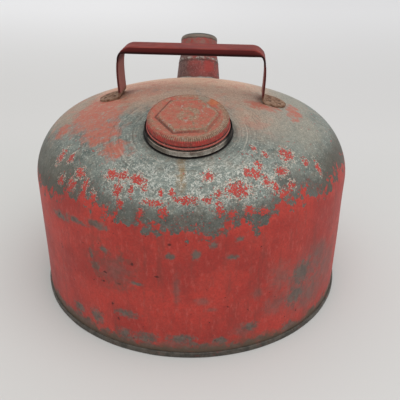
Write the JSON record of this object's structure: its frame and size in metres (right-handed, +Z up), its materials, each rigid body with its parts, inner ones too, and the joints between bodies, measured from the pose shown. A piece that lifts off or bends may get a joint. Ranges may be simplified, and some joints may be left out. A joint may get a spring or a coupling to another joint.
{
  "type": "metal gas can",
  "caption": "Round domed metal fuel can with a screw filler cap, a capped pouring spout behind it and a fixed carrying strap over the top.",
  "frame": {"origin": "centre of the ring that the can stands on", "axes": "+Z up, -Y towards the filler cap, +Y towards the pouring spout, X across, along the carrying strap"},
  "size_m": [0.2832, 0.286, 0.2185],
  "materials": {
    "painted_shell": "worn red enamel over hot-dip galvanised sheet",
    "painted_pan": "worn enamel and galvanised sheet",
    "sealant": "dried seaming compound",
    "galvanised": "dull weathered zinc",
    "solder": "dull soft solder",
    "strap_paint": "dark red enamel, satin",
    "weld": "rusty weld",
    "spout_paint": "worn red enamel",
    "brass": "tarnished brass",
    "cap_paint": "worn orange-red enamel, chalky",
    "gasket": "fuel-proof cork-rubber",
    "steel": "zinc-plated steel",
    "spout_cap_metal": "bare zinc top with a red skirt"
  },
  "bodies": {
    "can": {"body_shell": "painted_shell", "bottom_pan": "painted_pan", "bottom_seam_sealant": "sealant", "filler_neck": "galvanised", "filler_collar": "galvanised", "filler_neck_solder": "solder", "spout_base": "spout_paint", "spout_base_solder": "solder", "spout_neck": "spout_paint", "spout_neck_solder": "solder", "spout_strainer_ring": "brass", "spout_strainer": "brass", "handle_strap": "strap_paint", "handle_weld_nuggets": "weld"},
    "fill_seal": {"fill_cap_gasket": "gasket", "fill_cap_disc": "steel"},
    "fill_cap": {"fill_cap_shell": "cap_paint", "fill_cap_stud": "steel"},
    "spout_seal": {"spout_cap_gasket": "gasket", "spout_cap_disc": "steel"},
    "spout_cap": {"spout_cap_shell": "spout_cap_metal", "spout_cap_stud": "steel"}
  },
  "joints": [
    {"name": "fill_cap_lift", "type": "slide", "parent": "can", "child": "fill_seal", "axis": [0.0026, -0.2706, 0.9627], "range_m": [0, 0.007]},
    {"name": "fill_cap_turn", "type": "hinge", "parent": "fill_seal", "child": "fill_cap", "pos_m": [0.00076, -0.07874, 0.17818], "axis": [0.0026, -0.2706, 0.9627], "range_deg": [0, 720]},
    {"name": "spout_cap_lift", "type": "slide", "parent": "can", "child": "spout_seal", "axis": [0.0052, 0.4226, 0.9063], "range_m": [0, 0.01575]},
    {"name": "spout_cap_turn", "type": "hinge", "parent": "spout_seal", "child": "spout_cap", "pos_m": [0.00152, 0.12447, 0.19381], "axis": [0.0052, 0.4226, 0.9063], "range_deg": [0, 1620]}
  ],
  "couplings": [
    {"joint": "fill_cap_lift", "follows": "fill_cap_turn", "m_per_rad": 0.00055704},
    {"joint": "spout_cap_lift", "follows": "spout_cap_turn", "m_per_rad": 0.00055704}
  ]
}
